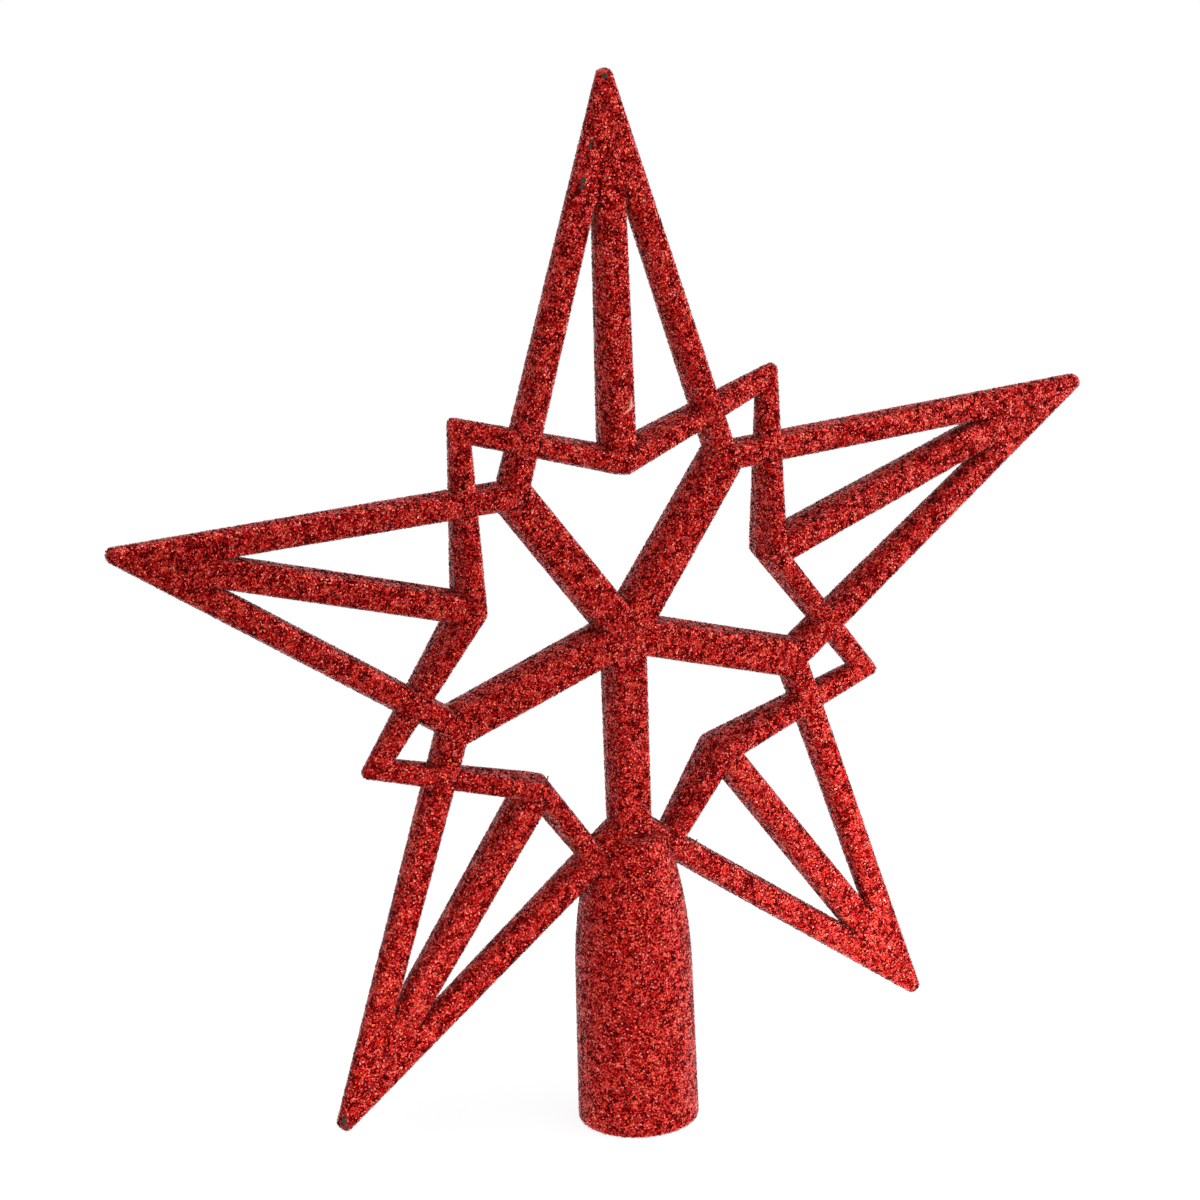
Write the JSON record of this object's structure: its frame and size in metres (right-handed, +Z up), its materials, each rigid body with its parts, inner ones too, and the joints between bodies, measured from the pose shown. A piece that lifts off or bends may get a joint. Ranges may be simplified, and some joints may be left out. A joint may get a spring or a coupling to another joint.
{
  "type": "tree topper star",
  "caption": "Openwork star of interlaced outlines, ribs and spokes in red glitter, on a domed tubular socket that slips over the top shoot of a Christmas tree.",
  "frame": {"origin": "middle of the socket's mouth, in the plane of its rim", "axes": "+Z up through the socket and the star's top point, the star's front faces -Y, +X to the right seen from the front"},
  "size_m": [0.1974, 0.0222, 0.1995],
  "materials": {
    "glitter_red": "moulded polystyrene under a clear adhesive coat of red polyester film glitter, bare and dark inside the bore"
  },
  "bodies": {
    "root": {"outer_rail_top_upper_left": "glitter_red", "outer_rail_top_upper_right": "glitter_red", "outer_rail_left_upper_left": "glitter_red", "outer_rail_left_mid_left": "glitter_red", "outer_rail_lower_left_mid_left": "glitter_red", "outer_rail_lower_left_bottom": "glitter_red", "outer_rail_lower_right_bottom": "glitter_red", "outer_rail_lower_right_mid_right": "glitter_red", "outer_rail_right_mid_right": "glitter_red", "outer_rail_right_upper_right": "glitter_red", "inner_rail_top_upper_left": "glitter_red", "inner_rail_top_upper_right": "glitter_red", "inner_rail_left_upper_left": "glitter_red", "inner_rail_left_mid_left": "glitter_red", "inner_rail_lower_left_mid_left": "glitter_red", "inner_rail_lower_left_bottom": "glitter_red", "inner_rail_lower_right_bottom": "glitter_red", "inner_rail_lower_right_mid_right": "glitter_red", "inner_rail_right_mid_right": "glitter_red", "inner_rail_right_upper_right": "glitter_red", "rib_top": "glitter_red", "rib_left": "glitter_red", "rib_lower_left": "glitter_red", "rib_lower_right": "glitter_red", "rib_right": "glitter_red", "spoke_upper_left": "glitter_red", "spoke_mid_left": "glitter_red", "spoke_bottom": "glitter_red", "spoke_mid_right": "glitter_red", "spoke_upper_right": "glitter_red", "socket": "glitter_red"}
  },
  "joints": []
}
